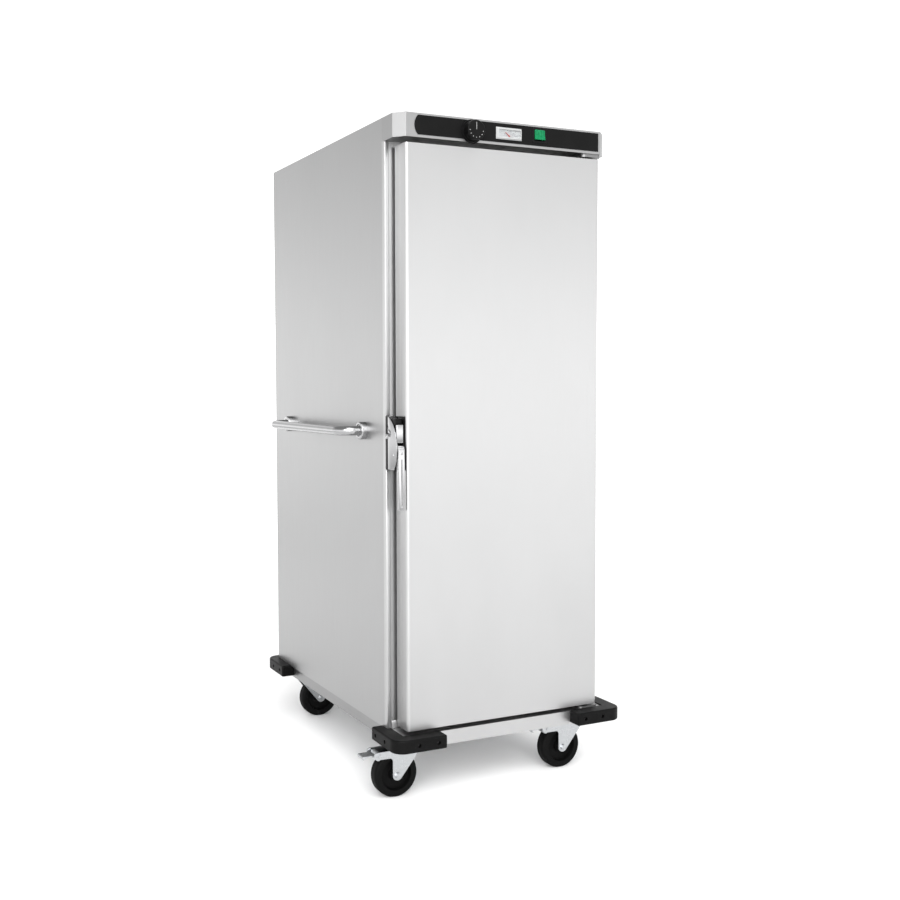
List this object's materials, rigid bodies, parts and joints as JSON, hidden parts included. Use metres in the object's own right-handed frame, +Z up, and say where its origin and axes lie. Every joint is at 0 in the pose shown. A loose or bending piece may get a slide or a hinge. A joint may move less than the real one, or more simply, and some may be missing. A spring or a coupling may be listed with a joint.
{
  "type": "heated banquet cart",
  "caption": "Tall insulated steel banquet cart with a full-height hinged door, control head with thermostat knob, tray runners inside, side handles and swivel casters.",
  "frame": {"origin": "on the floor, under the middle of the base", "axes": "+X to the right seen from the front, the front faces -Y, +Z up"},
  "size_m": [0.8093, 0.986, 1.786],
  "materials": {
    "steel_satin": "fine vertical grain, satin",
    "steel_inner": "mill finish, satin",
    "insulation": "mineral board, matt",
    "galvanized": "galvanized, matt",
    "rubber_black": "satin black rubber",
    "steel_screw": "zinc plated, worn bright",
    "caster_zinc": "bright zinc plating",
    "wheel_rubber": "matt black rubber",
    "fascia_black": "semi-gloss black",
    "plastic_black": "fine-grained black plastic",
    "thermometer_white": "smooth white plastic",
    "dial_face": "printed card",
    "clear_glass": "clear, flat",
    "pointer_red": "matt red",
    "lens_green": "translucent green",
    "element_steel": "heat-darkened sheath",
    "polished_steel": "polished",
    "chrome_latch": "chrome plated casting",
    "gasket_grey": "matt silicone",
    "bush_nylon": "plain nylon"
  },
  "bodies": {
    "cabinet": {"side_panel_right": "steel_satin", "side_panel_left": "steel_satin", "rear_panel": "steel_satin", "top_panel": "steel_satin", "front_frame": "steel_satin", "liner_sides": "steel_inner", "liner_rear": "steel_inner", "liner_floor": "steel_inner", "liner_ceiling": "steel_inner", "insulation_boards": "insulation", "service_deck": "steel_inner", "base_chassis": "steel_satin", "caster_rails": "galvanized", "corner_bumpers": "rubber_black", "bumper_screws": "steel_screw", "caster_plates": "caster_zinc", "caster_bolts": "steel_screw", "head_housing": "steel_satin", "control_fascia": "fascia_black", "thermostat_body": "plastic_black", "thermometer_case": "thermometer_white", "thermometer_dial": "dial_face", "thermometer_window": "clear_glass", "rocker_housing": "plastic_black", "terminal_block": "thermometer_white", "power_inlet": "plastic_black", "heating_element": "element_steel", "element_guard": "steel_inner", "element_clips": "steel_inner", "sensor_bulb": "steel_screw", "rack_posts": "steel_inner", "tray_runners": "steel_inner", "side_handles": "polished_steel", "handle_flanges": "polished_steel", "hinge_bracket_top": "polished_steel", "hinge_bracket_bottom": "polished_steel", "latch_keeper": "plastic_black"},
    "door": {"door_skin": "steel_satin", "door_inner_pan": "steel_inner", "door_insulation": "insulation", "door_gasket": "gasket_grey", "door_end_caps": "plastic_black", "hinge_bushes": "bush_nylon", "latch_backing": "plastic_black", "latch_case": "chrome_latch", "latch_pin": "steel_screw"},
    "latch_lever": {"latch_lever": "chrome_latch"},
    "thermostat_knob": {"thermostat_knob": "plastic_black"},
    "rocker_lens": {"rocker_lens": "lens_green"},
    "thermometer_pointer": {"thermometer_pointer": "pointer_red"},
    "caster_front_left_fork": {"caster_front_left_fork": "caster_zinc"},
    "caster_front_left_wheel": {"caster_front_left_wheel": "wheel_rubber"},
    "brake_pedal_front_left": {"brake_pedal_front_left": "caster_zinc"},
    "caster_front_right_fork": {"caster_front_right_fork": "caster_zinc"},
    "caster_front_right_wheel": {"caster_front_right_wheel": "wheel_rubber"},
    "brake_pedal_front_right": {"brake_pedal_front_right": "caster_zinc"},
    "caster_rear_left_fork": {"caster_rear_left_fork": "caster_zinc"},
    "caster_rear_left_wheel": {"caster_rear_left_wheel": "wheel_rubber"},
    "caster_rear_right_fork": {"caster_rear_right_fork": "caster_zinc"},
    "caster_rear_right_wheel": {"caster_rear_right_wheel": "wheel_rubber"}
  },
  "joints": [
    {"name": "door_hinge", "type": "hinge", "parent": "cabinet", "child": "door", "pos_m": [0.286, -0.425, 0.95], "axis": [0, 0, 1], "range_deg": [0, 180]},
    {"name": "latch_lever_pivot", "type": "hinge", "parent": "door", "child": "latch_lever", "pos_m": [-0.3148, -0.424, 0.916], "axis": [-1, 0, 0], "range_deg": [0, 30]},
    {"name": "thermostat_turn", "type": "hinge", "parent": "cabinet", "child": "thermostat_knob", "pos_m": [-0.108, -0.46, 1.752], "axis": [0, 1, 0], "range_deg": [0, 270]},
    {"name": "rocker_tilt", "type": "hinge", "parent": "cabinet", "child": "rocker_lens", "pos_m": [0.0989, -0.4485, 1.759], "axis": [1, 0, 0], "range_deg": [0, 14]},
    {"name": "thermometer_sweep", "type": "hinge", "parent": "cabinet", "child": "thermometer_pointer", "pos_m": [0.004, -0.4535, 1.74875], "axis": [0, 1, 0], "range_deg": [0, 100]},
    {"name": "front_left_swivel", "type": "hinge", "parent": "cabinet", "child": "caster_front_left_fork", "pos_m": [-0.262, -0.3755, 0.14], "axis": [0, 0, 1], "continuous": true},
    {"name": "front_left_wheel_spin", "type": "hinge", "parent": "caster_front_left_fork", "child": "caster_front_left_wheel", "pos_m": [-0.306, -0.3755, 0.0625], "axis": [0, 1, 0], "continuous": true},
    {"name": "front_left_brake", "type": "hinge", "parent": "caster_front_left_fork", "child": "brake_pedal_front_left", "pos_m": [-0.358, -0.3755, 0.121], "axis": [0, -1, 0], "range_deg": [0, 20]},
    {"name": "front_right_swivel", "type": "hinge", "parent": "cabinet", "child": "caster_front_right_fork", "pos_m": [0.262, -0.3755, 0.14], "axis": [0, 0, 1], "continuous": true},
    {"name": "front_right_wheel_spin", "type": "hinge", "parent": "caster_front_right_fork", "child": "caster_front_right_wheel", "pos_m": [0.218, -0.3755, 0.0625], "axis": [0, 1, 0], "continuous": true},
    {"name": "front_right_brake", "type": "hinge", "parent": "caster_front_right_fork", "child": "brake_pedal_front_right", "pos_m": [0.166, -0.3755, 0.121], "axis": [0, -1, 0], "range_deg": [0, 20]},
    {"name": "rear_left_swivel", "type": "hinge", "parent": "cabinet", "child": "caster_rear_left_fork", "pos_m": [-0.262, 0.3755, 0.14], "axis": [0, 0, 1], "continuous": true},
    {"name": "rear_left_wheel_spin", "type": "hinge", "parent": "caster_rear_left_fork", "child": "caster_rear_left_wheel", "pos_m": [-0.218, 0.3755, 0.0625], "axis": [0, 1, 0], "continuous": true},
    {"name": "rear_right_swivel", "type": "hinge", "parent": "cabinet", "child": "caster_rear_right_fork", "pos_m": [0.262, 0.3755, 0.14], "axis": [0, 0, 1], "continuous": true},
    {"name": "rear_right_wheel_spin", "type": "hinge", "parent": "caster_rear_right_fork", "child": "caster_rear_right_wheel", "pos_m": [0.306, 0.3755, 0.0625], "axis": [0, 1, 0], "continuous": true}
  ]
}
